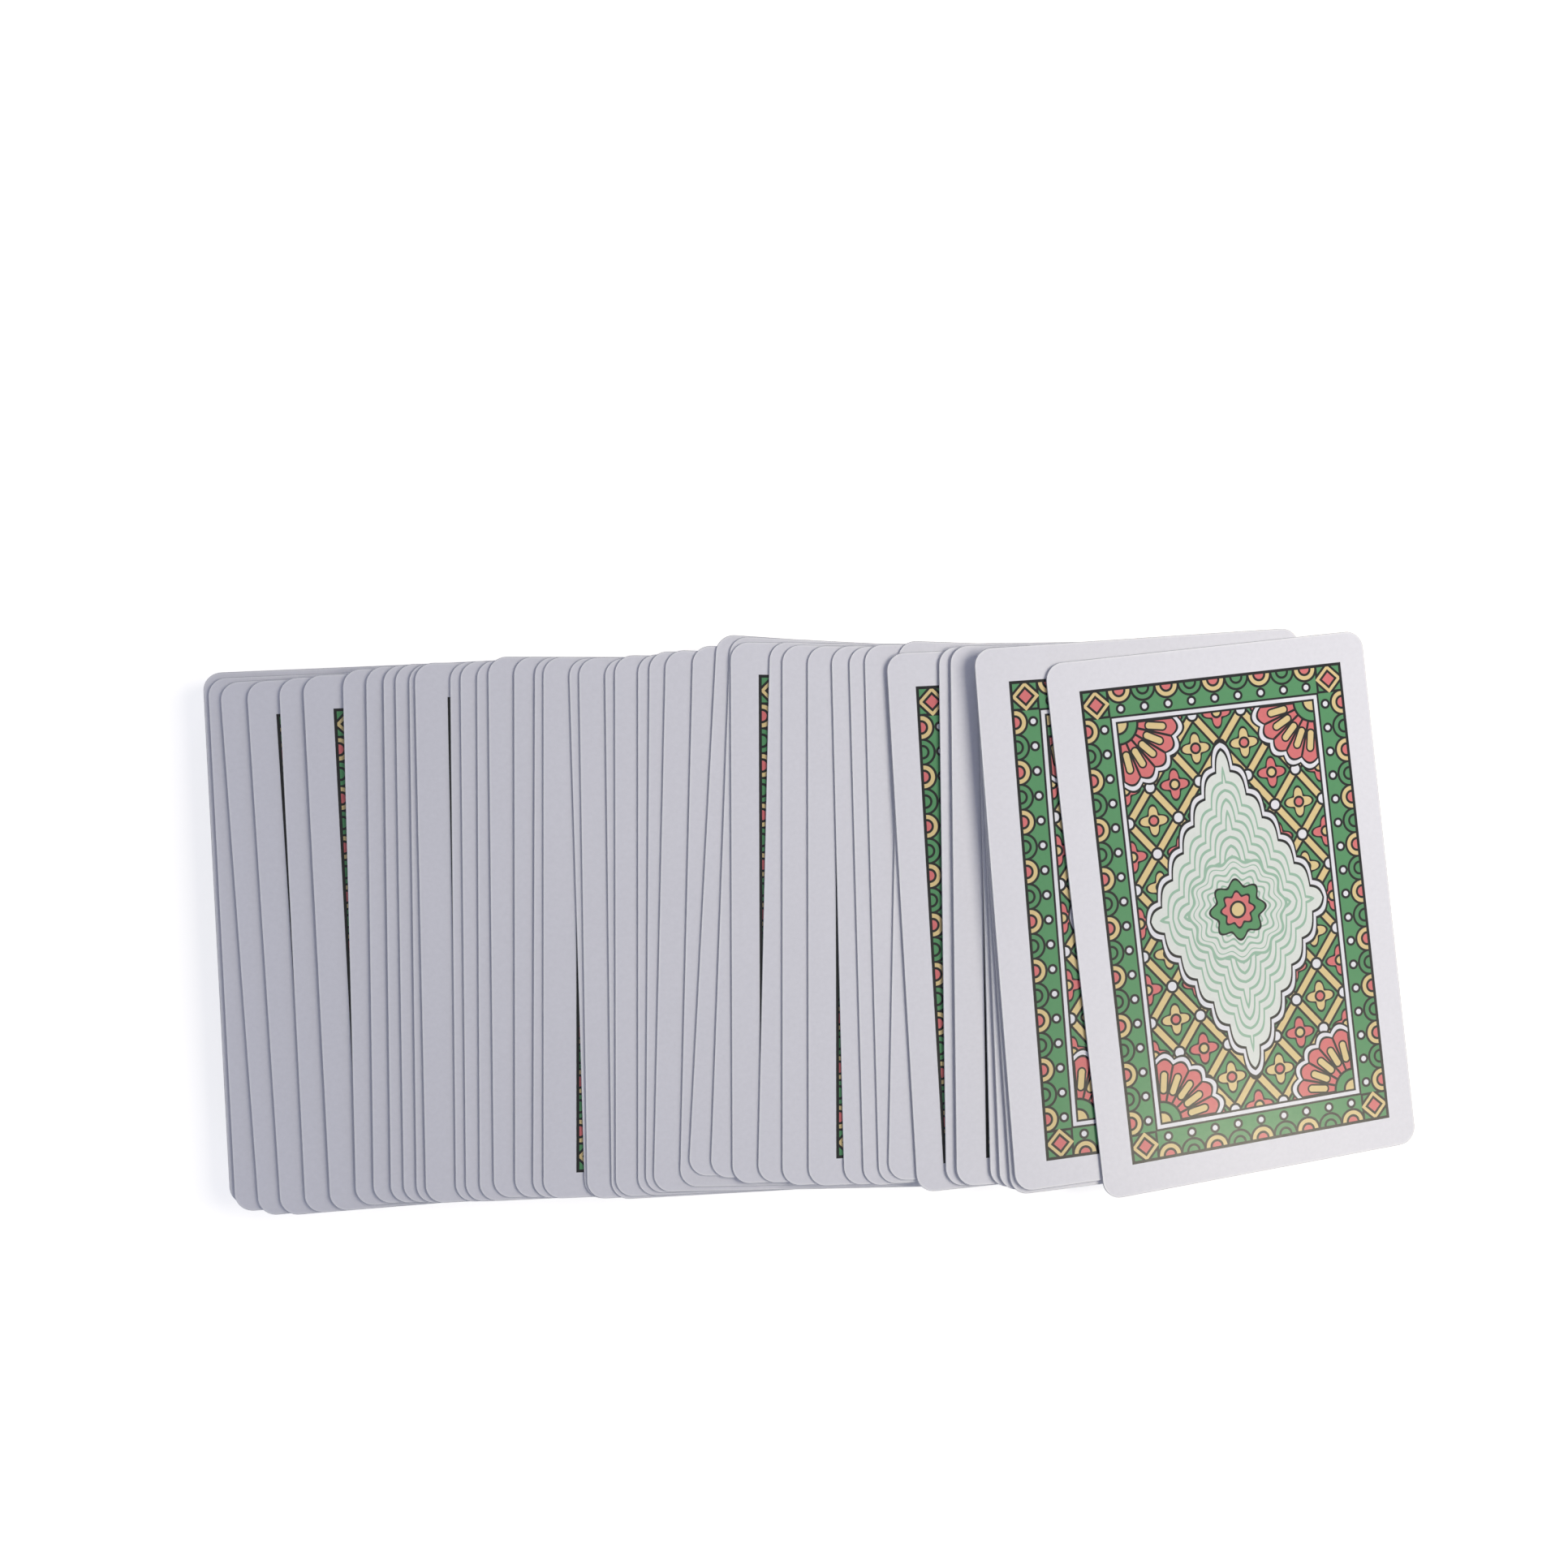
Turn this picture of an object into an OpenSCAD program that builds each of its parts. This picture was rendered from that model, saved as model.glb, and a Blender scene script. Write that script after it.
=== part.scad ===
// Deck of playing cards, spread face down on a table in one long ribbon.
// The first card lies flat at the left end, and the next few, nearly squared on it, lean ever more.
// Every later card lies on the one before it, a step further right, like tiles on a roof.

/* [Card] */
// Width of a card
card_w = 57; // [50:0.5:70]
// Length of a card
card_l = 88; // [76:0.5:100]
// Thickness of the card stock
card_t = 0.3; // [0.2:0.01:0.5]
// Radius of the rounded corners
corner_r = 3; // [1.5:0.1:8]

/* [Spread] */
// Unit step from one card to the next, along the ribbon
step_w = 2.64; // [1.6:0.02:5]
// Unit of the cards' slips along their own length
slip_l = 1; // [0:0.05:2.5]
// Times that the cards are turned as far as their table says
turn_scale = 1; // [0:0.05:1.5]
// Air between a card and the low edge of the card that it lies on
air_gap = 0.06; // [0.04:0.01:0.2]

/* [Hidden] */
$fn = 48;

// Step of each card from the card before it, as a share of the unit step
step_shares = [
    0, 0.15, 0.1, 0.15, 0.1, 0.15, 0.1, 0.05, 0.4, 1.15, 1.55, 1.8, 1.55,
    2.05, 1.3, 1.1, 0.8, 0.85, 0.5, 2, 0.65, 0.95, 0.8, 1.45, 1.2, 0.6,
    2.05, 0.4, 1.55, 0.45, 1.4, 0.6, 0.75, 1.65, 1, 1.1, 0.7, 2, 1.15,
    1.6, 1.85, 1.15, 0.95, 1.35, 0.5, 2.55, 0.65, 1.9, 0.25, 0.15, 0.05, 5.05
];

// Slip of each card along its length from the first card, as a share of the slip unit
slip_shares = [
    0, 0.1, -0.1, 0, -0.1, 0.1, 0, 0, -0.9, -1, -1.1, -1, -0.55,
    -0.25, -0.1, 0.05, 0.25, 0.2, 0.5, 0.4, 0.5, 0.5, 1.2, 1, 0.8, 0.9,
    1.5, 1.2, 1, 1.2, 1.3, 1.6, 1.4, 2.1, 3.2, 3.3, 3.4, 2.8, 2.9,
    2.8, 3.4, 3.4, 3.7, 3.1, 3.2, 3, 3.1, 3.2, 3.3, 3.4, 4.4, 3.3
];

// Turn of each card on the table in degrees, counter-clockwise seen from above
turns = [
    2.2, 3.3, 2.5, 3.1, 2.7, 3.2, 2.8, 2.9, 2.9, 4.1, 3.6, 2.8, 2.9,
    1.4, 0.8, 0.8, 0.9, 0.8, 1.2, 0.6, 0.6, 0.3, 0.6, 0.1, -0.2, 0,
    1.7, 0.9, 0.7, 0.1, 0, -0.4, -1.3, -1.4, -3, -2.1, 0.2, -1.3, 0,
    0.1, 1.4, 1.6, 1.6, -1.1, 3.4, 0.8, 0.7, 1.4, 2.4, 4, 4.7, 6.8
];

// Lean of each card, as a share of the ribbon's own lean, never less than the card before
lean_shares = [
    0, 0.08, 0.17, 0.26, 0.35, 0.44, 0.53, 0.62, 0.65, 0.68, 0.71, 0.74, 0.78,
    0.82, 0.85, 0.88, 0.9, 0.92, 0.94, 0.95, 0.96, 0.97, 0.98, 0.99, 1, 1,
    1, 1, 1, 1, 1, 1, 1, 1, 1, 1, 1, 1, 1,
    1, 1, 1, 1, 1, 1.02, 1.05, 1.09, 1.13, 1.17, 1.21, 1.25, 1.28
];

card_count = len(step_shares);
last = card_count - 1;

function turn(k) = turns[k] * turn_scale;
function slip(k) = slip_l * slip_shares[k];
function step(k) = step_w * step_shares[k];

// Distance in a card's own plane from its centre to its lowest point on the right
function reach(k) = (card_w / 2 - corner_r) * cos(turn(k))
    + (card_l / 2 - corner_r) * abs(sin(turn(k))) + corner_r;

// How far a card's low edge lies beyond the low edge of the card before it
function advance(k) = k == 0 ? 0 : step(k) + reach(k) - reach(k - 1);

// Rise of each card over the low edge of the one that it lies on
lift = card_t + air_gap;

function sum(list, k = 0) = k == len(list) ? 0 : list[k] + sum(list, k + 1);

// All the lifts together are undone by the advances down the slope, so the last card's
// low corner comes down to the table again. That gives the sine of the ribbon's lean.
slope = last * lift / sum([for (k = [1 : last]) lean_shares[k] * advance(k)]);
function lean(k) = asin(slope * lean_shares[k]);

// Low edge of each card in turn as [x, z], from the flat first card onward
function low_edge(k) = k == 0 ? [reach(0), 0]
    : low_edge(k - 1) + [advance(k) * cos(lean(k)), lift - advance(k) * sin(lean(k))];

// Centre of a card's underside, up its slope from the low edge
function centre(k) = let (low = low_edge(k))
    [low[0] - reach(k) * cos(lean(k)), slip(k), low[1] + reach(k) * sin(lean(k))];

// Outline of one card, a rectangle with rounded corners
module outline() {
    square([card_w - 2 * corner_r, card_l], center = true);
    square([card_w, card_l - 2 * corner_r], center = true);
    for (sx = [-1, 1], sy = [-1, 1])
        translate([sx * (card_w / 2 - corner_r), sy * (card_l / 2 - corner_r)]) circle(corner_r);
}

// One card of the ribbon, turned in its plane, leant over and set down in its place
module card(k) {
    color(k % 2 == 0 ? "whitesmoke" : "lightsteelblue")
        translate(centre(k)) rotate([0, lean(k), 0]) rotate([0, 0, turn(k)])
            linear_extrude(card_t) outline();
}

for (k = [0 : last]) card(k);
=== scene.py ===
from math import hypot, pi

import bpy
import numpy as np
from mathutils.geometry import delaunay_2d_cdt
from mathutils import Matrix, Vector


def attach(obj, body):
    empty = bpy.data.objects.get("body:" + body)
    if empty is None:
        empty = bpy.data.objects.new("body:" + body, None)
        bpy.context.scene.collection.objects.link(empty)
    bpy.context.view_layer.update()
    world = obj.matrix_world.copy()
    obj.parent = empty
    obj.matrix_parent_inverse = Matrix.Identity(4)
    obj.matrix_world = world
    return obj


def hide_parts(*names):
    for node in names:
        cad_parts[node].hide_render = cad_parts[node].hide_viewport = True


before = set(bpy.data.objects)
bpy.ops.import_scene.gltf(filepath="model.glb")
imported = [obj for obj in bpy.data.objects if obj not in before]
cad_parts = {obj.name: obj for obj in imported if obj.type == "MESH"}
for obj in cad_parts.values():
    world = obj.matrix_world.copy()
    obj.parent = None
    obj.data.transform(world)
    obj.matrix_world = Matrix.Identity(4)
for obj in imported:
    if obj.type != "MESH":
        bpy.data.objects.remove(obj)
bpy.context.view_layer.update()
millimetres = 1000          # to a metre: the mesh is in metres, the prints are in millimetres
print("frame loaded with", len(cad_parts), "cards")


class Wire:
    # One socket of a material: sums and products of wires add Math nodes, node() adds any other node.
    def __init__(self, tree, socket=None):
        self.tree = tree
        self.socket = socket

    def node(self, kind, settings=None, sockets=None, output=0):
        made = self.tree.nodes.new(kind)
        for name, value in (settings or {}).items():
            setattr(made, name, value)
        for name, value in (sockets or {}).items():
            if isinstance(value, Wire):
                self.tree.links.new(value.socket, made.inputs[name])
            else:
                made.inputs[name].default_value = value
        return Wire(self.tree, made.outputs[output] if made.outputs else None)

    def math(self, operation, *values, clamp=False):
        settings = {"operation": operation, "use_clamp": clamp}
        return self.node("ShaderNodeMath", settings, dict(enumerate(values)))

    def __add__(self, other):
        return self.math("ADD", self, other)

    __radd__ = __add__

    def __sub__(self, other):
        return self.math("SUBTRACT", self, other)

    def __rsub__(self, other):
        return self.math("SUBTRACT", other, self)

    def __mul__(self, other):
        return self.math("MULTIPLY", self, other)

    __rmul__ = __mul__

    def __truediv__(self, other):
        return self.math("DIVIDE", self, other)

    def __rtruediv__(self, other):
        return self.math("DIVIDE", other, self)

    def __abs__(self):
        return self.math("ABSOLUTE", self)

    def root(self):
        return self.math("SQRT", self)

    def cosine(self):
        return self.math("COSINE", self)

    def angle(self, x):
        return self.math("ARCTAN2", self, x)

    def most(self, other):
        return self.math("MAXIMUM", self, other)

    def least(self, other):
        return self.math("MINIMUM", self, other)

    def tile(self, pitch):  # the value within a tile of that pitch, counted from the tile's middle
        return self.math("WRAP", self, pitch / 2, -pitch / 2)

    def below(self, edge, soft=0.05):  # 1 where the value is under the edge, 0 over it, with a short ramp
        return self.math("MULTIPLY_ADD", self, -1 / soft, edge / soft + 0.5, clamp=True)

    def mix(self, colour, mask):  # this colour, and the other one where the mask is 1
        sockets = {0: mask, 6: self, 7: colour}
        return self.node("ShaderNodeMix", {"data_type": "RGBA"}, sockets, 2)


# Inks and papers as linear colours.
inks = {
    "ink": (0.012, 0.013, 0.014, 1),
    "green": (0.095, 0.295, 0.125, 1),
    "coral": (0.70, 0.18, 0.18, 1),
    "tan": (0.75, 0.59, 0.28, 1),
    "white": (0.82, 0.818, 0.845, 1),
    "mint": (0.76, 0.80, 0.74, 1),
    "leaf": (0.33, 0.52, 0.385, 1),
    "red": (0.56, 0.022, 0.03, 1),
    "rim": (0.92, 0.92, 0.92, 1),       # painted highlight on the stock, where the rounded edge catches light
    "edge": (0.46, 0.46, 0.47, 1),      # cut edge, darkened to grey as painted shade of the sides turned from the light
    "core": (0.30, 0.30, 0.31, 1),      # dark layer in the middle of the stock
}


class Print:
    # A printed sheet in the making: each paint() lays one ink over what is there.
    def __init__(self, wire, ground):
        self.colour = wire.node("ShaderNodeRGB")
        self.colour.socket.default_value = inks[ground]

    def paint(self, mask, ink):
        self.colour = self.colour.mix(inks[ink], mask)

    def shape(self, distance, edge, ink, line):  # a shape up to that distance, in a dark outline
        self.paint(distance.below(edge + line), "ink")
        self.paint(distance.below(edge), ink)


# Sizes of the printed back in millimetres, measured from the middle of the print.
backPrint = {
    "width": 47.0,
    "length": 78.0,
    "line": 0.4,            # dark outlines
    "frameLine": 0.5,
    "bandEnd": 4.7,         # depth of the border band from the frame's outside
    "ruleEnd": 6.0,         # depth of the white rule inside it
    "ruleLine": 0.35,
}


# Distance from a point: the root of the sum of squares.
def distanceFrom(x, y):
    return (x * x + y * y).root()


latticePrint = {
    "cellsAcross": 4,
    "cellsAlong": 6,
    "strip": 0.5,           # half width of the strips
    "petal": 1.75,
    "petalSwell": 0.6,
    "eye": 0.6,
    "knot": 0.75,
    "guard": 0.0001,        # keeps the division in the middle of a cell from failing
}


# Lattice: two sets of slanting lines, each a sum or difference of the shares x and y of a cell.
# Four petals in each cell: the radius swells by the cosine of four times the angle.
def latticeField(sheet, x, y, field):
    s, line = latticePrint, backPrint["line"]
    halfX = field[0] / s["cellsAcross"]
    halfY = field[1] / s["cellsAlong"]
    rise = x / halfX + y / halfY
    fall = x / halfX - y / halfY
    inRise, inFall = rise.tile(2), fall.tile(2)
    toStrip = (1 - abs(inRise).most(abs(inFall))) * (halfX * halfY / hypot(halfX, halfY))
    sheet.shape(toStrip, s["strip"], "tan", line)
    cellX = (inRise + inFall) * (halfX / 2)
    cellY = (inRise - inFall) * (halfY / 2)
    reach = distanceFrom(cellX, cellY)
    cosTwice = (cellX * cellX - cellY * cellY) / (reach * reach + s["guard"])
    flower = reach - (cosTwice * cosTwice * 2 - 1) * s["petalSwell"]
    second = abs((abs(rise.tile(4)) - 1).below(0) - (abs(fall.tile(4)) - 1).below(0))  # every other row
    sheet.shape(flower, s["petal"], "coral", line)
    sheet.paint(flower.below(s["petal"]) * second, "tan")
    sheet.shape(reach, s["eye"], "tan", line)
    sheet.paint(reach.below(s["eye"]) * second, "coral")
    knotRise, knotFall = (rise + 1).tile(2), (fall + 1).tile(2)
    knot = distanceFrom((knotRise + knotFall) * (halfX / 2), (knotRise - knotFall) * (halfY / 2))
    sheet.shape(knot, s["knot"], "white", line)


lozengePrint = {
    "halfWidth": 14.6,
    "halfLength": 25.0,
    "lobes": 6,             # lobes along each side
    "lobeRise": 1.0,
    "rim": (1.4, 1.0, 0.35, -0.05),   # ends of the rim's ink, white, ink and the pale panel
    "ringStart": 1.6,
    "ringPitch": 1.25,
    "ringHalf": 0.2,
    "ringEdge": 0.9,        # the rings keep that far inside the rim
    "rosette": (8.6, 8.1),
    "rosetteWaves": 12,
    "rosetteSwell": 0.45,
    "innerRings": (5.4, 1.1, 0.19, 7.6),
    "bloomPetals": 8,
    "bloom": (4.3, 0.55),
    "bud": (2.5, 0.35),
    "eye": 1.1,
}


# Lozenge: 1 less the shares of x and y of its half diagonals, and lobes as a cosine along each side.
# Rosette and bloom: circles whose radius swells by the cosine of a multiple of the angle.
def lozengePanel(sheet, x, y):
    s, line = lozengePrint, backPrint["line"]
    side = hypot(s["halfWidth"], s["halfLength"])
    shareX, shareY = abs(x) / s["halfWidth"], abs(y) / s["halfLength"]
    along = ((shareX - shareY) * (side / 2)).tile(side / s["lobes"])
    lobe = (along * (pi * s["lobes"] / side)).cosine() * s["lobeRise"]
    inward = (1 - shareX - shareY) * (s["halfWidth"] * s["halfLength"] / side) + lobe
    outward = inward * -1
    for edge, ink in zip(s["rim"], ("ink", "white", "ink", "mint")):
        sheet.paint(outward.below(edge), ink)
    ring = abs((inward - s["ringStart"]).tile(s["ringPitch"]))
    sheet.paint(ring.below(s["ringHalf"]) * outward.below(-s["ringEdge"]), "leaf")
    radius, angle = distanceFrom(x, y), y.angle(x)
    disc = radius - (angle * s["rosetteWaves"]).cosine() * s["rosetteSwell"]
    for edge, ink in zip(s["rosette"], ("leaf", "mint")):
        sheet.paint(disc.below(edge), ink)
    start, pitch, half, end = s["innerRings"]
    sheet.paint(abs((disc - start).tile(pitch)).below(half) * disc.below(end), "leaf")
    wave = (angle * s["bloomPetals"]).cosine()
    sheet.shape(radius - wave * s["bloom"][1], s["bloom"][0], "green", line)
    sheet.shape(radius - wave * s["bud"][1], s["bud"][0], "coral", line)
    sheet.shape(radius, s["eye"], "tan", line)


fanPrint = {
    "radius": 10.4,
    "petals": 5,
    "lobeRise": 0.9,
    "rim": (0.4, 0.0, -0.7, -1.1),    # ends of the rim's ink, white, ink and the petals, from the radius
    "parting": 0.2,
    "bar": (6.6, 1.2, 0.5),           # middle, half length and half width of the bar in each petal
    "barLine": 0.3,
    "hub": 3.2,
    "hubEye": 1.5,
}


# Quarter fan in each corner: the angle about the corner is cut in equal petals, with a lobed rim.
def cornerFan(sheet, x, y, field):
    s, line = fanPrint, backPrint["line"]
    cornerX, cornerY = field[0] - abs(x), field[1] - abs(y)
    radius = distanceFrom(cornerX, cornerY)
    pitch = pi / 2 / s["petals"]
    turn = (cornerY.angle(cornerX) - pitch / 2).tile(pitch)
    rim = radius - (turn * (pi / pitch)).cosine() * s["lobeRise"]
    for edge, ink in zip(s["rim"], ("ink", "white", "ink", "coral")):
        sheet.paint(rim.below(s["radius"] + edge), ink)
    apart = (pitch / 2 - abs(turn)) * radius
    sheet.paint(apart.below(s["parting"]) * rim.below(s["radius"] + s["rim"][3]), "ink")
    middle, halfLength, halfWidth = s["bar"]
    bar = distanceFrom((abs(radius - middle) - halfLength).most(0), turn * radius)
    sheet.shape(bar, halfWidth, "tan", s["barLine"])
    sheet.shape(radius, s["hub"], "green", line)
    sheet.shape(radius, s["hubEye"], "tan", line)


borderPrint = {
    "archesAcross": 9,
    "archesAlong": 17,
    "arch": 1.85,
    "archEye": 0.8,
    "bead": (3.6, 0.45),    # depth and radius of the beads
    "stone": (2.35, 1.1),
    "stoneLine": 0.55,
    "blockLine": 0.2,
}


# Border: rows of arches at equal steps along each side, standing on the frame line, with square corner
# blocks. It gives back where the stock outside the frame is bare.
def borderBand(sheet, x, y):
    s, back = borderPrint, backPrint
    line = back["line"]
    fromSide, fromEnd = back["width"] / 2 - abs(x), back["length"] / 2 - abs(y)
    depth = fromSide.least(fromEnd)
    sheet.paint(depth.below(back["ruleEnd"]), "ink")
    sheet.paint(depth.below(back["ruleEnd"] - back["ruleLine"]), "white")
    sheet.paint(depth.below(back["bandEnd"] + back["ruleLine"]), "ink")
    sheet.paint(depth.below(back["bandEnd"]), "green")
    pitchX = (back["width"] - 2 * back["bandEnd"]) / s["archesAcross"]
    pitchY = (back["length"] - 2 * back["bandEnd"]) / s["archesAlong"]
    onSide = (fromSide - fromEnd).below(0)
    across, down = x.tile(pitchX), y.tile(pitchY)
    along = across + onSide * (down - across)
    rowX, rowY = abs(x.tile(2 * pitchX)) / pitchX, abs(y.tile(2 * pitchY)) / pitchY
    second = (rowX + onSide * (rowY - rowX)).below(0.5)     # every other arch
    arch = distanceFrom(along, depth - back["frameLine"])
    sheet.shape(arch, s["arch"], "green", line)
    sheet.paint(arch.below(s["arch"]) * second, "tan")
    sheet.shape(arch, s["archEye"], "green", line)
    sheet.paint(arch.below(s["archEye"]) * second, "coral")
    sheet.shape(distanceFrom(along, depth - s["bead"][0]), s["bead"][1], "white", line)
    block = fromSide.most(fromEnd)
    middle = (back["frameLine"] + back["bandEnd"]) / 2
    inBlock = block.below(back["bandEnd"] + s["blockLine"])
    sheet.paint(inBlock, "ink")
    sheet.paint(block.below(back["bandEnd"] - s["blockLine"]), "green")
    stone = abs(fromSide - middle) + abs(fromEnd - middle)
    for edge, ink in zip(s["stone"], ("tan", "coral")):
        sheet.paint(stone.below(edge + s["stoneLine"]) * inBlock, "ink")
        sheet.paint(stone.below(edge) * inBlock, ink)
    sheet.paint(depth.below(back["frameLine"]), "ink")
    bare = depth.below(0)
    sheet.paint(bare, "white")
    return bare


cardStock = {
    "grain": 2600,          # noise cells to a metre, in the varnish
    "grainDepth": 0.00002,
    "grainStrength": 0.3,
    "fibre": 1500,
    "fibreShade": 0.09,
    "cloud": 45,
    "cloudShade": 0.03,
    "detail": 3,            # octaves of each noise
    "specular": 0.25,
    "roughness": 0.35,      # of the inks
    "bareRoughness": 0.43,  # of the stock with no ink on it
    "roughnessSpread": 0.08,
    "rim": (0.25, 0.4),     # depth and softness of the painted rim highlight, in millimetres
    "edgeRoughness": 0.8,
    "core": (0.2, 0.1),     # half width and softness of the dark core, as shares of the thickness
}


# Paper finish: clouds and fibres of noise shade the colour, the fibres also vary the gloss, and a finer
# grain dents the varnish.
def cardFinish(wire, colour, bsdf, roughness):
    s = cardStock
    place = wire.node("ShaderNodeTexCoord", output="Object")
    noise = {}
    for name in ("grain", "fibre", "cloud"):
        sockets = {"Vector": place, "Scale": s[name], "Detail": s["detail"]}
        noise[name] = wire.node("ShaderNodeTexNoise", {}, sockets)
    shade = 1 - noise["fibre"] * s["fibreShade"] - noise["cloud"] * s["cloudShade"]
    tint = wire.node("ShaderNodeCombineColor", {}, {0: shade, 1: shade, 2: shade})
    multiply = {"data_type": "RGBA", "blend_type": "MULTIPLY"}
    shaded = wire.node("ShaderNodeMix", multiply, {0: 1, 6: colour, 7: tint}, 2)
    dents = {"Height": noise["grain"], "Strength": s["grainStrength"], "Distance": s["grainDepth"]}
    links = {
        "Base Color": shaded,
        "Roughness": noise["fibre"] * s["roughnessSpread"] + (roughness - s["roughnessSpread"] / 2),
        "Normal": wire.node("ShaderNodeBump", {}, dents),
    }
    for name, value in links.items():
        wire.tree.links.new(value.socket, bsdf.inputs[name])


# A material's start: its tree as a wire, and its shader with the gloss of varnished stock.
def newMaterial(name):
    material = bpy.data.materials.new(name)
    material.use_nodes = True
    tree = material.node_tree
    bsdf = tree.nodes["Principled BSDF"]
    bsdf.inputs["Specular IOR Level"].default_value = cardStock["specular"]
    return material, Wire(tree), bsdf


# Place on the card in millimetres, from its own map, whose middle is the card's middle.
def placeOnCard(wire, size):
    plane = wire.node("ShaderNodeUVMap", {"uv_map": "cardPlane"})
    u = wire.node("ShaderNodeSeparateXYZ", {}, {0: plane}, 0)
    v = wire.node("ShaderNodeSeparateXYZ", {}, {0: plane}, 1)
    return (u - 0.5) * (size[0] * millimetres), (v - 0.5) * (size[1] * millimetres)


# Drift of the print on this card in millimetres, the same all over a card.
def printDrift(wire):
    drift = wire.node("ShaderNodeAttribute", {"attribute_name": "drift"}, output="Vector")
    return tuple(wire.node("ShaderNodeSeparateXYZ", {}, {0: drift}, way) for way in (0, 1))


# Painted rim highlight: how far a place lies inside the rounded outline, whose corners are circles about
# their own middles.
def paintedRimHighlight(x, y, size):
    radius = cardSheet["cornerRadius"] * millimetres
    beyondX = abs(x) - (size[0] / 2 * millimetres - radius)
    beyondY = abs(y) - (size[1] / 2 * millimetres - radius)
    inside = radius - distanceFrom(beyondX.most(0), beyondY.most(0)) - beyondX.most(beyondY).least(0)
    return inside.below(*cardStock["rim"])


# Printed back: lattice, lozenge, fans and border laid over each other, then a painted highlight along the
# rim of the card.
def printedBack(size):
    material, wire, bsdf = newMaterial("printedBack")
    cardX, cardY = placeOnCard(wire, size)
    driftX, driftY = printDrift(wire)
    x, y = cardX - driftX, cardY - driftY
    field = [backPrint[side] / 2 - backPrint["ruleEnd"] for side in ("width", "length")]
    sheet = Print(wire, "green")
    latticeField(sheet, x, y, field)
    lozengePanel(sheet, x, y)
    cornerFan(sheet, x, y, field)
    bare = borderBand(sheet, x, y)
    # Painted highlight: a pale band along the rim where the rounded cut edge catches light.
    sheet.paint(paintedRimHighlight(cardX, cardY, size), "rim")
    roughness = cardStock["roughness"] + bare * (cardStock["bareRoughness"] - cardStock["roughness"])
    cardFinish(wire, sheet.colour, bsdf, roughness)
    return material


# Cut edge: paper darkened to grey as painted shade, with a darker core layer about the middle of the
# thickness.
def cutEdge():
    material, wire, bsdf = newMaterial("cutEdge")
    level = wire.node("ShaderNodeAttribute", {"attribute_name": "level"}, output="Fac")
    sheet = Print(wire, "edge")
    sheet.paint(abs(level).below(*cardStock["core"]), "core")
    cardFinish(wire, sheet.colour, bsdf, cardStock["edgeRoughness"])
    return material


# Plain side: one ink, or bare stock, with the paper finish.
def plainSide(name, ink, roughness):
    material, wire, bsdf = newMaterial(name)
    cardFinish(wire, Print(wire, ink).colour, bsdf, roughness)
    return material


# Sizes of the printed faces in millimetres, from the middle of the card.
facePrint = {
    "ranks": ("A", "2", "3", "4", "5", "6", "7", "8", "9", "10", "J", "Q", "K"),
    "column": 11.0,         # places of the outer pips
    "row": 29.0,
    "pip": 4.3,             # half heights of the pips
    "ace": 9.5,
    "smallPip": 1.9,
    "index": (23.6, 37.6),  # places of the corner's rank and small pip
    "indexPip": (23.6, 32.0),
    "indexSize": 8.6,
    "indexBold": 0.018,
    "indexCurve": 3,        # steps to a curve of a rank
    "narrowTen": 0.66,
    "leastFace": 0.00001,   # smaller faces of a rank's mesh are empty slivers
    "samePoint": 0.0001,    # points nearer than this are one
    "roundSteps": 24,
    "heartWaves": (13, -5, -2, -1),         # shares of the cosines of one to four turns
    "diamondBend": (0.76, 2.3),             # half width, and the power that bends its sides inward
    "clubLeaf": ((0, 0.52), (0.47, -0.18), (-0.47, -0.18)),
    "clubRadius": (0.46, 0.3),              # of the leaves, and of the middle between them
    "spadeLeaf": ((0.9, -0.85), (0, 0.15)),  # scale and place of the upturned heart
    "stem": ((0.1, 0), (-0.1, 0), (-0.12, -0.5), (-0.42, -1), (0.42, -1), (0.12, -0.5)),
    "frame": (17.5, 33.5, 0.4),             # half width, half length and line of the courts' frame
    "courtPip": (12.0, 27.5),
    "crown": (9.0, 5.0, 10.5, 19.5),        # half width, foot, valleys and tips
    "crownFlare": 1.2,
    "crownFall": 3.0,                       # how much lower the outer tips are
    "crownBall": 1.1,
    "crownBand": (2.0, 3.8),
    "crownTips": {"J": 3, "Q": 5, "K": 7},
}

# Places of the pips of each rank as shares of the column and row: those with a half-turned twin,
# and single ones.
pipPlaces = {
    "A": ([], [(0, 0)]),
    "2": ([(0, 1)], []),
    "3": ([(0, 1)], [(0, 0)]),
    "4": ([(1, 1), (-1, 1)], []),
    "5": ([(1, 1), (-1, 1)], [(0, 0)]),
    "6": ([(1, 1), (-1, 1)], [(1, 0), (-1, 0)]),
    "7": ([(1, 1), (-1, 1)], [(1, 0), (-1, 0), (0, 1 / 2)]),
    "8": ([(1, 1), (-1, 1), (0, 1 / 2)], [(1, 0), (-1, 0)]),
    "9": ([(1, 1), (-1, 1), (1, 1 / 3), (-1, 1 / 3)], [(0, 0)]),
    "10": ([(1, 1), (-1, 1), (1, 1 / 3), (-1, 1 / 3), (0, 2 / 3)], []),
}

fullTurn = np.arange(facePrint["roundSteps"]) * 2 * pi / facePrint["roundSteps"]


# Circle: cosine and sine of equal steps.
def circle(middle, radius):
    return np.stack([np.cos(fullTurn), np.sin(fullTurn)], 1) * radius + middle


# Box: the corners between its lowest and its highest one.
def box(low, high):
    return np.array([low, (high[0], low[1]), high, (low[0], high[1])], float)


# Heart: a cubed sine across, and a sum of cosines of the turn and its multiples upward, brought to
# half height 1.
def heart():
    waves = np.array(facePrint["heartWaves"])
    rise = np.cos(np.outer(fullTurn, np.arange(len(waves)) + 1)) @ waves
    half, middle = np.ptp(rise) / 2, (rise.max() + rise.min()) / 2
    return np.stack([np.sin(fullTurn) ** 3, (rise - middle) / half], 1)


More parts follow.
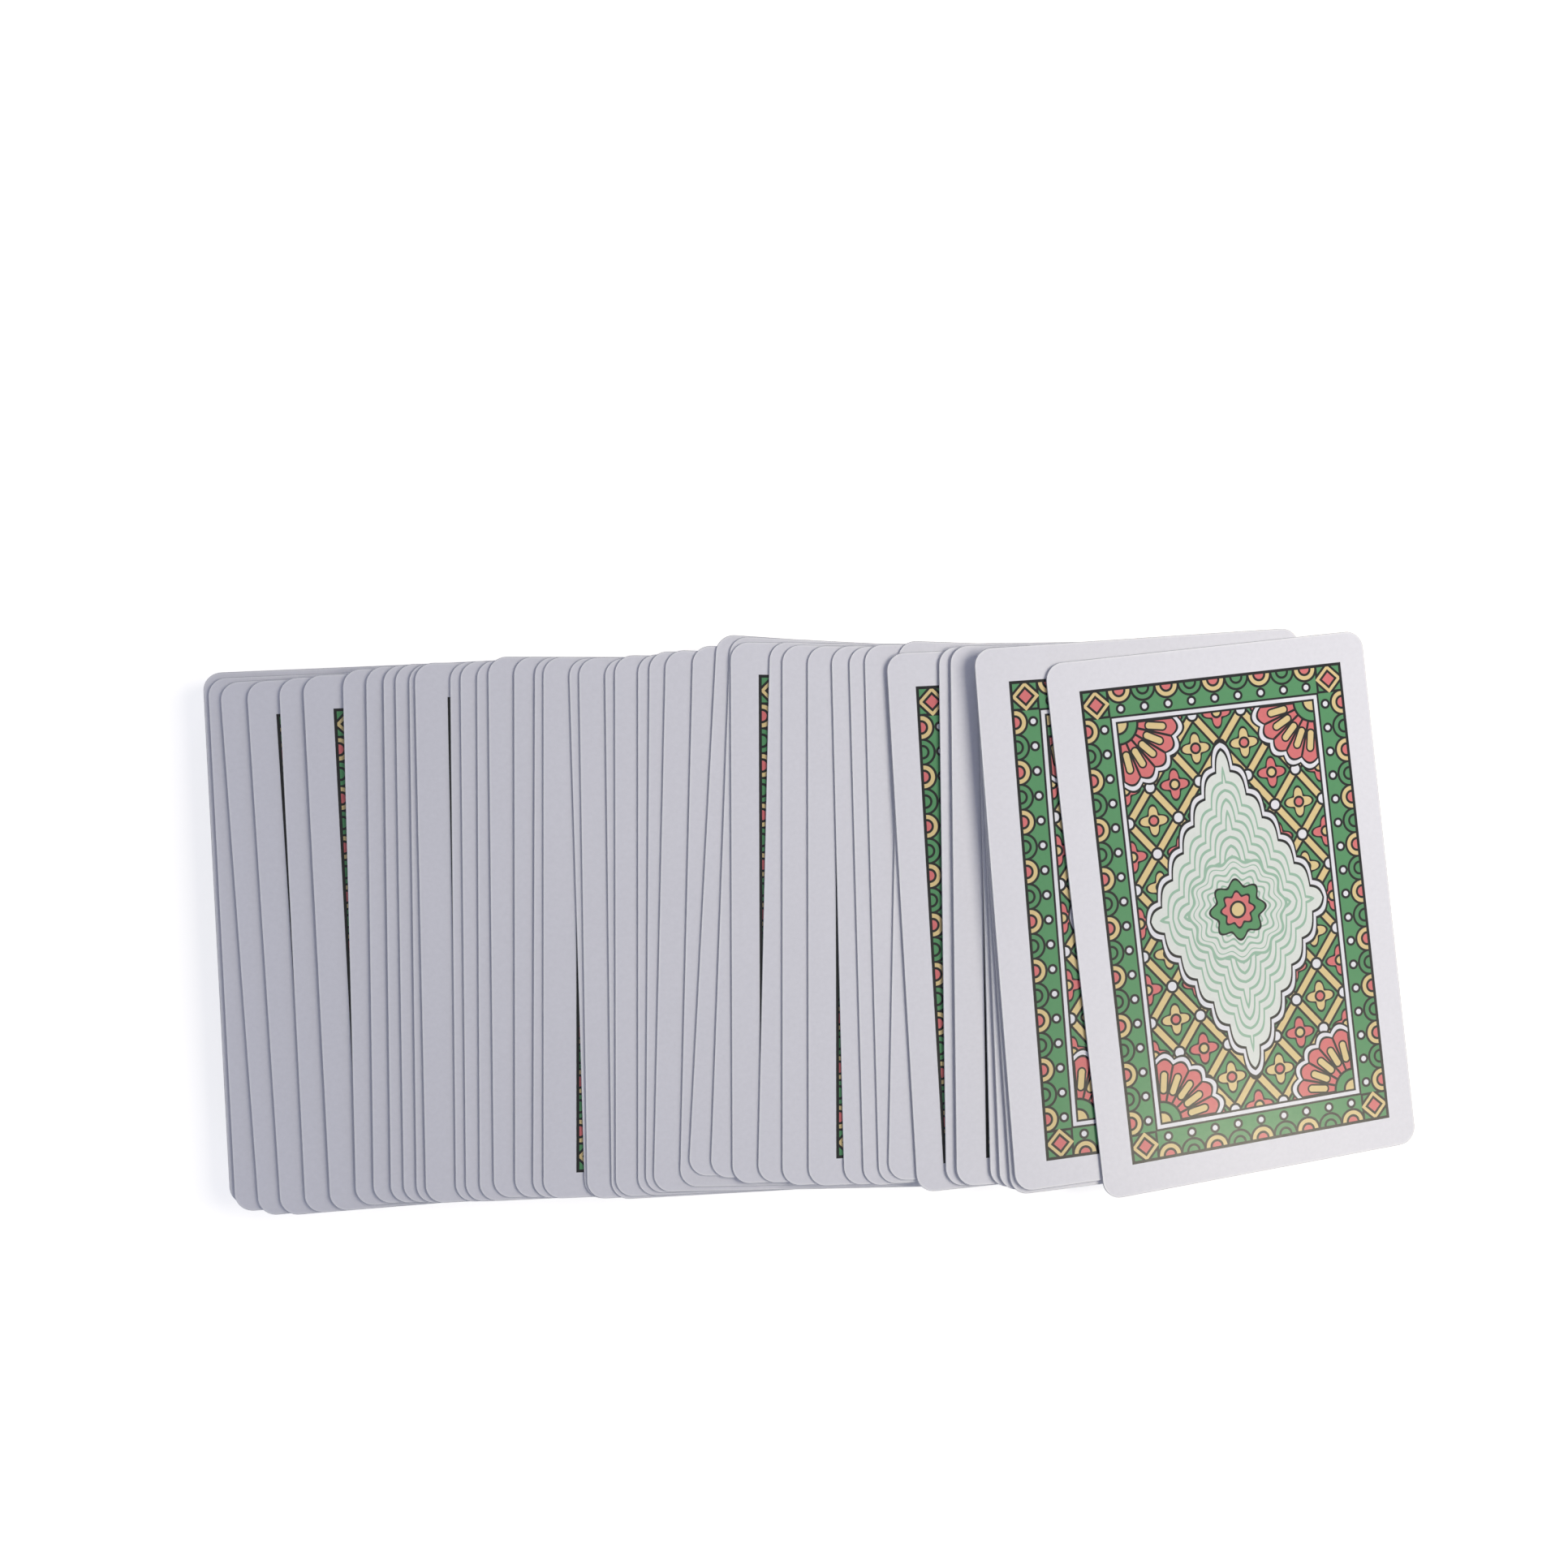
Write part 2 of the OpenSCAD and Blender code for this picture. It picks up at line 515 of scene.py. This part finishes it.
# Diamond: powers of cosine and sine a little over two.
def diamond():
    halfWidth, bend = facePrint["diamondBend"]
    way = circle((0, 0), 1)
    return np.sign(way) * np.abs(way) ** bend * (halfWidth, 1)


# Club: three circles, and a smaller one that fills the gap between them.
def club():
    leaf, middle = facePrint["clubRadius"]
    return [circle(place, leaf) for place in facePrint["clubLeaf"]] + [circle((0, 0), middle)]


# Suits in half heights: the ink, and a few outlines laid over each other.
stem = np.array(facePrint["stem"])
spadeScale, spadePlace = facePrint["spadeLeaf"]
suits = {
    "spade": ("ink", [heart() * spadeScale + spadePlace, stem]),
    "heart": ("red", [heart()]),
    "club": ("ink", club() + [stem]),
    "diamond": ("red", [diamond()]),
}


# Shapes brought to a place, and turned by half a turn about the middle of the card where asked.
def placed(shapes, size, place, turned=False):
    return [(shape * size + place) * (-1 if turned else 1) for shape in shapes]


# The corner's rank: a word made a mesh, of which each face is an outline.
def rankShapes(rank):
    word = bpy.data.curves.new("rank", "FONT")
    word.body = rank
    word.align_x, word.align_y = "CENTER", "CENTER"
    word.offset = facePrint["indexBold"]
    word.resolution_u = facePrint["indexCurve"]
    holder = bpy.data.objects.new("rank", word)
    mesh = bpy.data.meshes.new_from_object(holder)
    points = np.empty(len(mesh.vertices) * 3)
    mesh.vertices.foreach_get("co", points)
    points = points.reshape(-1, 3)[:, :2] * (facePrint["narrowTen"] if len(rank) > 1 else 1, 1)
    whole = [face for face in mesh.polygons if face.area > facePrint["leastFace"]]
    shapes = [points[list(face.vertices)] for face in whole]
    bpy.data.objects.remove(holder)
    bpy.data.curves.remove(word)
    bpy.data.meshes.remove(mesh)
    return shapes


rankWords = {rank: rankShapes(rank) for rank in facePrint["ranks"]}


# Crown: tips and valleys by turns along a zigzag, higher in the middle by the square of the way out.
def crownShapes(tips):
    half, foot, valley, tip = facePrint["crown"]
    share = np.linspace(-1, 1, 2 * tips - 1)
    tall = np.arange(2 * tips - 1) % 2 == 0
    across = share * half * np.where(tall, facePrint["crownFlare"], 1)
    height = np.where(tall, tip - facePrint["crownFall"] * share ** 2, valley)
    zigzag = np.stack([across, height], 1)
    body = np.concatenate([[(-half, foot), (half, foot)], zigzag[::-1]])
    low, high = facePrint["crownBand"]
    balls = [circle(top, facePrint["crownBall"]) for top in zigzag[tall]]
    return [body, box((-half, low), (half, high))] + balls


# Frame of a court card: a side and an end, and the same two turned by half a turn.
def frameShapes():
    halfWidth, halfLength, line = facePrint["frame"]
    side = box((halfWidth - line, -halfLength), (halfWidth, halfLength))
    end = box((-halfWidth, halfLength - line), (halfWidth, halfLength))
    return [side, -side, end, -end]


# Everything inked on one face, as outlines seen from that side.
def faceShapes(rank, suit):
    s, pip = facePrint, suits[suit][1]
    shapes = []
    for turned in (False, True):
        shapes += placed(rankWords[rank], s["indexSize"], np.array(s["index"]) * (-1, 1), turned)
        shapes += placed(pip, s["smallPip"], np.array(s["indexPip"]) * (-1, 1), turned)
    if rank in s["crownTips"]:
        shapes += frameShapes()
        for turned in (False, True):
            shapes += placed(crownShapes(s["crownTips"][rank]), 1, (0, 0), turned)
            shapes += placed(pip, s["pip"], np.array(s["courtPip"]) * (-1, 1), turned)
        return shapes
    size = s["ace"] if rank == "A" else s["pip"]
    spread = np.array([s["column"], s["row"]])
    paired, single = pipPlaces[rank]
    for place in paired + single:
        shapes += placed(pip, size, place * spread)
    for place in paired:
        shapes += placed(pip, size, place * spread, True)
    return shapes


# Counter-clockwise order: the cross products of neighbouring points sum to twice the area.
def wound(shape):
    after = np.roll(shape, -1, 0)
    area = (shape[:, 0] * after[:, 1] - shape[:, 1] * after[:, 0]).sum()
    return shape if area > 0 else shape[::-1]


# The face's flat side cut along all the outlines: its points, triangles, and which triangles are inked.
def inkedSide(rim, shapes):
    outlines = [wound(rim)] + [wound(shape) for shape in shapes]
    ends = np.cumsum([0] + [len(outline) for outline in outlines])
    faces = [list(range(start, end)) for start, end in zip(ends, ends[1:])]
    onlyInside, withSources = 1, True       # ends at the rim, and tells which outlines hold a triangle
    corners = np.concatenate(outlines).tolist()
    cut = delaunay_2d_cdt(corners, [], faces, onlyInside, facePrint["samePoint"], withSources)
    points, triangles, sources = cut[0], cut[2], cut[5]
    return np.array(points), np.array(triangles), np.array([max(source) > 0 for source in sources])


cardSheet = {
    "cornerRadius": 0.003,
    "edgeRound": 0.00008,   # soft corner between a printed side and the cut edge
    "cornerSteps": 10,
    "sideSteps": 8,
    "rings": 5,             # rings of faces from the middle of a side to its rim
    "edgeSteps": 3,
    "decimals": 7,          # of a metre, to which the frame's points are told apart
    "drift": (0.0, -0.6),   # how far the prints sit to the right of the middle and above it, in millimetres
    "ownDrift": {           # the same for single cards
        "card_11": (-0.55, -0.6),
        "card_13": (-0.35, -0.6),
        "card_19": (0.15, -0.6),
        "card_26": (0.3, -0.9),
        "card_37": (-0.4, -0.3),
        "card_40": (-0.4, -0.6),
        "card_45": (-0.4, -0.6),
        "card_51": (0.5, -0.6),
        "card_52": (0.4, 0.0),
    },
}


# A card's own axes: the ways in which its points spread most and least, and the one square to both, with
# the back up.
def placeOf(node):
    points = np.empty(len(node.data.vertices) * 3)
    node.data.vertices.foreach_get("co", points)
    points = np.unique(points.reshape(-1, 3).round(cardSheet["decimals"]), axis=0)
    spread = np.linalg.svd(points - points.mean(0), full_matrices=False)[2]
    lengthWay = spread[0] * np.sign(spread[0][1])
    upWay = spread[2] * np.sign(spread[2][2])
    axes = np.stack([np.cross(lengthWay, upWay), lengthWay, upWay])
    low, high = (points @ axes.T).min(0), (points @ axes.T).max(0)
    return axes, (low + high) / 2 @ axes, high - low


# Outline path: the corner circles' middles, and the direction that points out of the card at each step.
def outlinePath(width, length):
    s = cardSheet
    quarter = np.arange(4)[:, None]
    half = np.array([width, length]) / 2 - s["cornerRadius"]
    middle = np.array([(1, 1), (-1, 1), (-1, -1), (1, -1)]) * half
    bend = (quarter + np.linspace(0, 1, s["cornerSteps"] + 1)) * pi / 2
    run = np.linspace(0, 1, s["sideSteps"] + 1)[1:-1]
    angle = np.hstack([bend, np.repeat((quarter + 1) * pi / 2, len(run), 1)])
    share = np.hstack([np.zeros_like(bend), np.tile(run, (4, 1))])[:, :, None]
    core = middle[:, None] * (1 - share) + np.roll(middle, -1, 0)[:, None] * share
    outward = np.stack([np.cos(angle), np.sin(angle)], 2)
    return core.reshape(-1, 2), outward.reshape(-1, 2)


# Card surface: the outline shrunk by shares from 0 to 1 makes the back, and a quarter circle rounds its rim
# and the face's. The rows run from the back's middle over the edge to the rim of the face.
def cardSurface(size):
    s = cardSheet
    core, outward = outlinePath(size[0], size[1])
    arc = np.linspace(0, pi / 2, s["edgeSteps"] + 1)
    share = np.concatenate([np.arange(1, s["rings"]) / s["rings"], np.ones_like(arc)])
    inset = np.concatenate([np.ones(s["rings"] - 1), 1 - np.sin(arc)]) * s["edgeRound"]
    drop = np.concatenate([np.zeros(s["rings"] - 1), 1 - np.cos(arc)]) * s["edgeRound"]
    lower = np.arange(len(share) - 1, s["rings"] - 2, -1)       # the rounding once more, from below
    height = np.hstack([size[2] / 2 - drop, drop[lower] - size[2] / 2])
    share, inset = np.hstack([share, share[lower]]), np.hstack([inset, inset[lower]])
    plan = share[:, None, None] * (core + (s["cornerRadius"] - inset)[:, None, None] * outward)
    grid = np.concatenate([plan, np.broadcast_to(height[:, None, None], plan.shape[:2] + (1,))], 2)
    return np.concatenate([[(0, 0, size[2] / 2)], grid.reshape(-1, 3)]), plan.shape[:2]


# Faces of a grid of rows round one pole, listed so that they point outwards.
def gridFaces(rowCount, columnCount):
    column = np.arange(columnCount)
    after = (column + 1) % columnCount
    first = 1 + np.arange(rowCount - 1)[:, None] * columnCount
    lower = first + columnCount
    quads = np.stack([first + column, lower + column, lower + after, first + after], 2).reshape(-1, 4)
    top = np.stack([0 * column, 1 + column, 1 + after], 1)
    return top, quads


# Face side: its inked sheet is cut in millimetres as seen from below, where right and left change places,
# and the points on its rim are the last row of the card's surface.
def faceSide(local, columnCount, shapes):
    mirror = np.array([-1, 1]) * millimetres
    rim = local[-columnCount:, :2] * mirror
    points, triangles, inked = inkedSide(rim, shapes)
    onRim = ((points - rim[:, None]) ** 2).sum(2).argmin(1)
    fresh = np.ones(len(points), bool)
    fresh[onRim] = False
    index = np.empty(len(points), int)
    index[onRim] = np.arange(len(local) - columnCount, len(local))
    index[fresh] = np.arange(fresh.sum()) + len(local)
    added = np.insert(points[fresh] / mirror, 2, local[-1, 2], 1)
    return np.concatenate([local, added]), index[triangles], inked


# Card: the back and the edge as rows round one pole, and the face as an inked sheet, all brought from the
# card's own axes to its place.
def buildCard(name, node, drift, shapes, materials):
    axes, centre, size = placeOf(node)
    local, (rowCount, columnCount) = cardSurface(size)
    top, quads = gridFaces(rowCount, columnCount)
    local, triangles, inked = faceSide(local, columnCount, shapes)
    faces = top.tolist() + quads.tolist() + triangles.tolist()
    mesh = bpy.data.meshes.new(name)
    mesh.from_pydata((centre + local @ axes).tolist(), [], faces)
    back, edge, bareFace, inkedFace = range(len(materials))
    row = np.repeat(np.arange(rowCount - 1), columnCount)
    onRows = np.where(row < cardSheet["rings"] - 1, back, edge)
    kind = np.concatenate([np.full(len(top), back), onRows, np.where(inked, inkedFace, bareFace)])
    mesh.polygons.foreach_set("material_index", kind.astype(np.int32))
    mesh.polygons.foreach_set("use_smooth", kind == edge)
    corner = np.empty(len(mesh.loops), np.int32)
    mesh.loops.foreach_get("vertex_index", corner)
    plane = mesh.uv_layers.new(name="cardPlane")
    share = local[:, :2] / size[:2] + 0.5
    plane.uv.foreach_set("vector", share[corner].astype(np.float32).ravel())
    printShift = mesh.attributes.new("drift", "FLOAT_VECTOR", "POINT")
    printShift.data.foreach_set("vector", np.tile(np.float32((*drift, 0)), len(local)))
    level = mesh.attributes.new("level", "FLOAT", "POINT")
    level.data.foreach_set("value", (local[:, 2] / size[2]).astype(np.float32))
    for material in materials:
        mesh.materials.append(material)
    mesh.update()
    piece = bpy.data.objects.new(name, mesh)
    bpy.context.scene.collection.objects.link(piece)
    return piece


cardSize = placeOf(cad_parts["card_01"])[2]
sides = [printedBack(cardSize), cutEdge(), plainSide("bareFace", "white", cardStock["bareRoughness"])]
faceInks = {ink: plainSide(ink + "OnFace", ink, cardStock["roughness"]) for ink in ("ink", "red")}
order = [(suit, rank) for suit in suits for rank in facePrint["ranks"]]     # from the bottom card up
for nodeName, (suit, rank) in zip(sorted(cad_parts), order):
    drift = cardSheet["ownDrift"].get(nodeName, cardSheet["drift"])
    materials = sides + [faceInks[suits[suit][0]]]
    pieceName = nodeName.replace("card", "printedCard")
    piece = buildCard(pieceName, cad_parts[nodeName], drift, faceShapes(rank, suit), materials)
    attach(piece, nodeName)
    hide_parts(nodeName)
print("cards printed and laid")


floorSheet = {
    "half": 3.0,
    "height": -0.0001,
    "colour": (0.78, 0.78, 0.78, 1),        # what the light meets
    "shownColour": (1.0, 0.965, 0.87, 1),   # what the camera sees shaded, over the floor's own white
    "middle": (0.06, 0.0),
    "nearZone": (0.27, 0.3),                # distance and softness of the zone where shadows show
    "nearShade": 0.43,                      # how much of its own white the floor lacks there
}


# Rays that look at the scene: the camera's own, and those seen in gloss or through glass.
def seenRay(wire):
    camera, glossy, clear = (
        wire.node("ShaderNodeLightPath", output=name)
        for name in ("Is Camera Ray", "Is Glossy Ray", "Is Transmission Ray")
    )
    return camera.most(glossy).most(clear)


# Floor: plain to the light and white to the eye. Its own white grows with the distance from the deck,
# so that the shadow shows beside the cards, and the far floor runs into the white background.
def buildFloor():
    s = floorSheet
    material = bpy.data.materials.new("paleFloor")
    material.use_nodes = True
    material.node_tree.nodes.clear()
    wire = Wire(material.node_tree)
    plain = wire.node("ShaderNodeBsdfDiffuse", {}, {"Color": s["colour"]})
    shaded = wire.node("ShaderNodeBsdfDiffuse", {}, {"Color": s["shownColour"]})
    place = wire.node("ShaderNodeTexCoord", output="Object")
    x, y = (wire.node("ShaderNodeSeparateXYZ", {}, {0: place}, way) - s["middle"][way] for way in (0, 1))
    white = 1 - distanceFrom(x, y).below(*s["nearZone"]) * s["nearShade"]
    glow = wire.node("ShaderNodeEmission", {}, {"Color": white})
    shown = wire.node("ShaderNodeAddShader", {}, {0: shaded, 1: glow})
    surface = wire.node("ShaderNodeMixShader", {}, {0: seenRay(wire), 1: plain, 2: shown})
    wire.node("ShaderNodeOutputMaterial", {}, {"Surface": surface})
    corners = np.array([(-1, -1, 0), (1, -1, 0), (1, 1, 0), (-1, 1, 0)]) * s["half"]
    corners = corners + (0, 0, s["height"])
    mesh = bpy.data.meshes.new("floor")
    mesh.from_pydata(corners.tolist(), [], [(0, 1, 2, 3)])
    mesh.materials.append(material)
    floor = bpy.data.objects.new("floor", mesh)
    bpy.context.scene.collection.objects.link(floor)


# Lamps: those with shade light the surfaces, those with gloss show in the varnish.
studio = {
    "skyColour": (0.70, 0.745, 1.0, 1),
    "skyStrength": 0.29,
    "lamps": {
        "key": {
            "place": (0.28, 0.06, 0.236), "aim": (0.0, 0.0, 0.0), "size": (0.18, 0.18),
            "power": 0.66, "colour": (1.0, 0.95, 0.865), "gloss": False, "shade": True,
        },
        "sheen": {          # on the lower part of the top card
            "place": (0.360, -0.157, 0.248), "aim": (0.134, -0.045, 0.006), "size": (0.09, 0.09),
            "power": 0.9, "colour": (1.0, 0.92, 0.74), "gloss": True, "shade": False,
        },
        "front": {          # the three low lamps light the cut edges
            "place": (0.07, -0.5, 0.06), "aim": (0.07, 0.0, 0.01), "size": (0.4, 0.06),
            "power": 1.0, "colour": (0.75, 0.80, 1.0), "gloss": False, "shade": True,
        },
        "back": {
            "place": (0.07, 0.5, 0.06), "aim": (0.07, 0.0, 0.01), "size": (0.4, 0.06),
            "power": 1.0, "colour": (0.75, 0.80, 1.0), "gloss": False, "shade": True,
        },
        "left": {
            "place": (-0.45, -0.05, 0.06), "aim": (0.0, 0.0, 0.01), "size": (0.3, 0.06),
            "power": 0.9, "colour": (0.85, 0.88, 1.0), "gloss": False, "shade": True,
        },
    },
}


# Lamp: a lit rectangle that faces the point it is aimed at.
def buildLamp(name, s):
    lamp = bpy.data.lights.new(name, "AREA")
    lamp.shape = "RECTANGLE"
    lamp.size, lamp.size_y = s["size"]
    lamp.energy = s["power"]
    lamp.color = s["colour"]
    holder = bpy.data.objects.new(name + "Lamp", lamp)
    bpy.context.scene.collection.objects.link(holder)
    holder.visible_glossy = s["gloss"]
    holder.visible_diffuse = s["shade"]
    holder.location = s["place"]
    away = Vector(s["place"]) - Vector(s["aim"])
    holder.rotation_euler = away.to_track_quat("Z", "Y").to_euler()


# Light: the lamps, and a dim sky that looks white where it is seen.
def buildLight():
    for name, settings in studio["lamps"].items():
        buildLamp(name, settings)
    world = bpy.data.worlds.new("softSky")
    world.use_nodes = True
    bpy.context.scene.world = world
    world.node_tree.nodes.clear()
    wire = Wire(world.node_tree)
    dim = {"Color": studio["skyColour"], "Strength": studio["skyStrength"]}
    sky = wire.node("ShaderNodeBackground", {}, dim)
    white = wire.node("ShaderNodeBackground", {}, {"Color": (1, 1, 1, 1), "Strength": 1})
    surface = wire.node("ShaderNodeMixShader", {}, {0: seenRay(wire), 1: sky, 2: white})
    wire.node("ShaderNodeOutputWorld", {}, {"Surface": surface})


# The camera looks straight down, from where the photograph was taken.
viewCamera = {
    "place": (0.06749, 0.02423, 0.20018),
    "focalPixels": 1440,
    "framePixels": 1932,
    "sensor": 36.0,         # millimetres
    "nearest": 0.01,
}


# Focal length: its share of the frame's width in pixels, times the sensor's width.
def buildCamera():
    s = viewCamera
    lens = bpy.data.cameras.new("fromAbove")
    lens.sensor_width = s["sensor"]
    lens.lens = s["focalPixels"] / s["framePixels"] * s["sensor"]
    lens.clip_start = s["nearest"]
    camera = bpy.data.objects.new("fromAbove", lens)
    camera.location = s["place"]
    bpy.context.scene.collection.objects.link(camera)
    bpy.context.scene.camera = camera


buildFloor()
buildLight()
buildCamera()
bpy.context.scene.view_settings.view_transform = "Standard"
print("floor, light and camera set")
